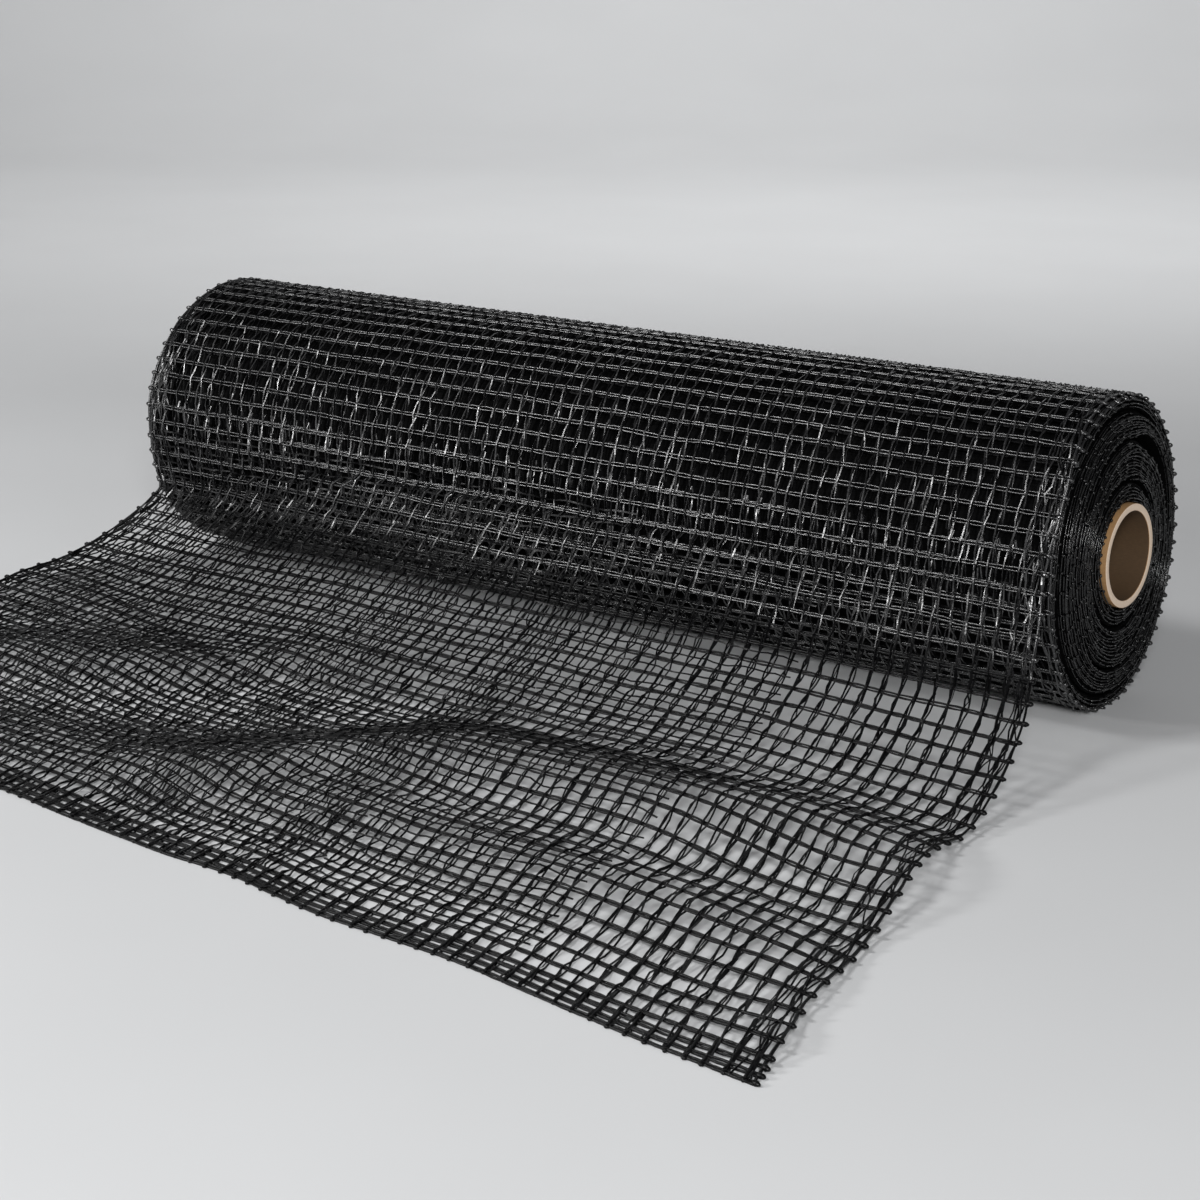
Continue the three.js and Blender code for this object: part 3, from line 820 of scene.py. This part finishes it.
def end_face(radius, rim_reach):
    """How far an end face reaches out at a radius."""
    inward = (ROLL_RADIUS - radius) / (ROLL_RADIUS - BORE_RADIUS)
    return lerp(rim_reach, CONE_AT_BORE, inward)


def groove_middle(groove, angle):
    """Radius of a groove's middle at an angle round the face."""
    return groove[0] - groove[3] * np.cos(np.radians(angle - OFFSET_ANGLE))


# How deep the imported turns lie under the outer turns, and under the edges on the end faces
BODY_SUNK = 6.5
FACE_SUNK = 3.5


def body_profile(grooves, angle, rim_reach, rim_radius):
    """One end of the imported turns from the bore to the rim, as (radius, reach)."""
    profile = [(BORE_RADIUS, end_face(BORE_RADIUS, rim_reach) - FACE_SUNK)]
    for groove in grooves:
        middle, half = groove_middle(groove, angle), groove[1](angle) / 2
        floor = end_face(middle, rim_reach) - groove[2] - FACE_SUNK
        for offset, on_floor in ((-half, False), (-half / 3, True), (half / 3, True), (half, False)):
            reach = floor if on_floor else end_face(middle + offset, rim_reach) - FACE_SUNK
            profile.append((middle + offset, reach))
    profile.append((rim_radius, rim_reach - FACE_SUNK))
    return profile


def wound_body():
    """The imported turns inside, a little under the outer turns and the turns' edges."""
    sections = []
    for station in range(2 * CORDS_ROUND):
        turned = station * ROW_ANGLE / 2
        angle = PARTING_ANGLE + turned
        radius = winding_radius(turned) - BODY_SUNK
        right_profile = body_profile(RIGHT_GROOVES, angle, right_rim(angle), radius)
        left_profile = body_profile(LEFT_GROOVES, angle, left_rim(angle), radius)
        right = [(x, r) for r, x in right_profile]
        left = [(-ROLL_LENGTH - x, r) for r, x in left_profile]
        ring = np.array(right + left[::-1])
        y, z = on_section(ring[:, 1], angle)
        sections.append(np.stack([ring[:, 0], y, np.maximum(z, 0.2)], -1))
    points = np.array(sections)
    quads = closed_quads(points.shape[:2])
    return mesh_piece("wound_body", points.reshape(-1, 3), [quads], BODY_IN_PAINTED_SHADE, smooth=False)


# Points along one turn's edge on an end face, and its edge cords as (depth, half width)
TURN_POINTS = 84
EDGE_CORDS = ((1.0, 0.7), (3.2, 0.6))


def beside_groove(groove, side, angle):
    """Radius where a group of turns ends, on the outer (1) or inner (-1) side of a groove."""
    return groove_middle(groove, angle) + side * (groove[1](angle) / 2 + 1)


def on_face(radius, angle, reach, direction):
    """Points on the right (1) or left (-1) end of the roll, as far out as reach says."""
    y, z = on_section(radius, angle)
    x = reach if direction > 0 else -ROLL_LENGTH - reach
    return np.stack([x, y, z], -1)


def end_turns(name, grooves, rim, direction, seed):
    """The edges of the turns on one end face: spiral edge cords, and the ends of the cross cords."""
    rng = np.random.default_rng(seed)
    bundles = []
    borders = [None, *grooves, None]
    for inner, outer in zip(borders[:-1], borders[1:]):
        low = BORE_RADIUS if inner is None else inner[0]
        high = ROLL_RADIUS - LAYER if outer is None else outer[0]
        turns = max(int((high - low) / LAYER), 2)
        count = turns * TURN_POINTS + 1
        t = np.linspace(0, turns, count)
        angle = PARTING_ANGLE + 360 * t
        inside = low + 1.2 if inner is None else beside_groove(inner, 1, angle)
        outside = high if outer is None else beside_groove(outer, -1, angle)
        ripple = wander(rng, (1, count), turns * 15, 0.28)[0]
        radius = lerp(inside, outside, t / turns) + ripple
        step_out = np.repeat(rng.normal(0, 1.1, turns + 1), TURN_POINTS)[:count]
        blend_steps = np.convolve(np.pad(step_out, 20, mode="edge"), np.ones(41) / 41, "valid")
        wave = wander(rng, (1, count), turns * 11, 0.9)[0] + blend_steps
        face = end_face(radius, rim(angle)) + wave
        for depth, half in EDGE_CORDS:
            jitter = wander(rng, (1, count), turns * 30, 0.22)[0]
            points = on_face(radius + 0.5 * jitter, angle, face - depth + jitter, direction)
            bundles.append((points[None], np.array([direction, 0.0, 0.0]), half, half, 4))
        travelled = np.concatenate([[0], np.cumsum(np.radians(np.diff(angle)) * radius[1:])])
        places = np.arange(rng.uniform(2, 14), travelled[-1], CORD_PITCH)
        places = places + rng.normal(0, 1.5, len(places))
        knot_angle = np.interp(places, travelled, angle)[:, None]
        knot_radius = np.interp(places, travelled, radius)[:, None]
        knot_face = np.interp(places, travelled, face)[:, None]
        reach = np.array([-6.0, -1.5, 0.0, 1.0])[None] + knot_face
        points = on_face(knot_radius + 0 * reach, knot_angle, reach, direction)
        half = np.array([0.9, 1.2, 1.6, 0.9])
        bundles.append((points, radial(knot_angle), half, half * 0.8, 4))
    # The turns' edges take a copy of the yarn painted darker than on the roll: painted shade on the end
    # faces.
    return strand_mesh(name, bundles, END_FACE_YARN_PAINTED_DARKER, rng)


def core():
    """The cardboard tube, with its corners a little rounded."""
    corner = 0.7
    bend = np.radians([0, 30, 60, 90])
    left, right = -ROLL_LENGTH - TUBE_PROUD, TUBE_PROUD
    profile = []
    for x, r, inward, into_wall, flip in ((right, TUBE_OUTER_RADIUS, -1, -1, True),
                                          (right, TUBE_INNER_RADIUS, -1, 1, False),
                                          (left, TUBE_INNER_RADIUS, 1, 1, True),
                                          (left, TUBE_OUTER_RADIUS, 1, -1, False)):
        arc = [(x + inward * corner * (1 - np.sin(b)), r + into_wall * corner * (1 - np.cos(b)))
               for b in bend]
        profile += arc if flip else arc[::-1]
    profile = np.array(profile)
    segments = 128
    angle = np.arange(segments) * 360 / segments
    y, z = on_section(profile[:, 1][None], angle[:, None])
    x = np.broadcast_to(profile[:, 0], y.shape)
    points = np.stack([x, y, z], -1)
    quads = closed_quads(y.shape)[:, [0, 3, 2, 1]]
    piece = mesh_piece("cardboard_core", points.reshape(-1, 3), [quads], PAPERBOARD)
    # The wall inside the bore gets that darker copy, as painted shade.
    piece.data.materials.append(BORE_WALL_IN_PAINTED_SHADE)
    in_bore = np.arange(len(profile)) == 2 * len(bend) - 1
    chosen = np.broadcast_to(in_bore, y.shape).astype(np.int32)
    piece.data.polygons.foreach_set("material_index", chosen.ravel())
    return piece


tube = core()
body = wound_body()
turns = [outer_turn(), inner_turn()]
right_end = end_turns("right_end_turns", RIGHT_GROOVES, right_rim, 1, 31)
left_end = end_turns("left_end_turns", LEFT_GROOVES, left_rim, -1, 32)
over_roll = net_over_roll()
net = loose_net()
net_tapes = loose_tapes()
net_edges = loose_edges()

for piece in (tube, body, *turns, right_end, left_end, over_roll, net, net_tapes, net_edges):
    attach(piece, "root")
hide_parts("core_tube")
for piece in (body, *turns, right_end, left_end):
    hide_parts("wound_roll")
for piece in (over_roll, net, net_tapes, net_edges):
    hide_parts("loose_sheet")


# The studio: a pale sweep, soft lights from the front and above and one for the backdrop, and the
# photograph's camera
VIEW_TURN = 35.9
VIEW_TILT = 15.9


def studio_sweep():
    """Matt pale paper that bends up behind the roll."""
    material, tree, shader, place = new_material("matt_pale_sweep")
    # Faint clouds a third of a metre across
    mottle = add_node(tree, "TexNoise", None, {"Vector": place, "Scale": 3.0, "Detail": 2.0})
    colour = add_node(tree, "Mix", {"data_type": "RGBA"}, {"Factor": mottle.outputs["Fac"],
                                                           "A": linear("#cecfd0"),
                                                           "B": linear("#d5d6d7")})
    tree.links.new(colour.outputs["Result"], shader.inputs["Base Color"])
    shader.inputs["Roughness"].default_value = 0.7
    bend, height, near, far, half = 1800, 5200, 6000, 3600, 9000
    profile = [(-near, 0), (far, 0)]
    profile += [(far + bend * np.sin(a), bend * (1 - np.cos(a))) for a in np.radians(np.arange(10, 91, 10))]
    profile += [(far + bend, height)]
    a = radians(VIEW_TURN)
    points = []
    for side in (-half, half):
        for depth, z in profile:
            points.append((-400 + side * np.cos(a) - depth * np.sin(a),
                           -200 + side * np.sin(a) + depth * np.cos(a), z))
    count = len(profile)
    quads = np.array([(i, i + count, i + count + 1, i + 1) for i in range(count - 1)])
    return mesh_piece("studio_sweep", np.array(points, float), [quads], material)


def soft_light(name, place, aim, size, watts):
    light = bpy.data.lights.new(name, "AREA")
    light.shape = "RECTANGLE"
    light.size, light.size_y = size
    light.energy = watts
    lamp = bpy.data.objects.new(name, light)
    start, end = (np.array(place) + ORIGIN) * MM, (np.array(aim) + ORIGIN) * MM
    lamp.location = start.tolist()
    direction = Vector((end - start).tolist())
    lamp.rotation_euler = direction.to_track_quat("-Z", "Y").to_euler()
    bpy.context.collection.objects.link(lamp)


def camera():
    lens = bpy.data.cameras.new("camera")
    lens.sensor_width = 36
    lens.lens = 84.9
    lens.clip_end = 100
    view = bpy.data.objects.new("camera", lens)
    view.location = ((np.array([1000, -2110, 745]) + ORIGIN) * MM).tolist()
    view.rotation_euler = (radians(90 - VIEW_TILT), 0, radians(VIEW_TURN))
    bpy.context.collection.objects.link(view)
    bpy.context.scene.camera = view


studio_sweep()
soft_light("key", (-2700, -2700, 3900), (-500, -300, 100), (1.2, 1.2), 104)
soft_light("front_left", (-2520, -2760, 1250), (-494, -100, 200), (0.5, 0.5), 55)
soft_light("front_right", (1700, -2900, 1700), (-300, -100, 150), (0.7, 0.7), 76)
soft_light("backdrop", (-1200, 1700, 2400), (-2500, 5000, 900), (2.6, 1.6), 68)
camera()

world = bpy.data.worlds.new("studio_air")
world.use_nodes = True
world.node_tree.nodes["Background"].inputs["Color"].default_value = linear("#f4f4f6")
world.node_tree.nodes["Background"].inputs["Strength"].default_value = 0.14
bpy.context.scene.world = world
bpy.context.scene.view_settings.view_transform = "Standard"
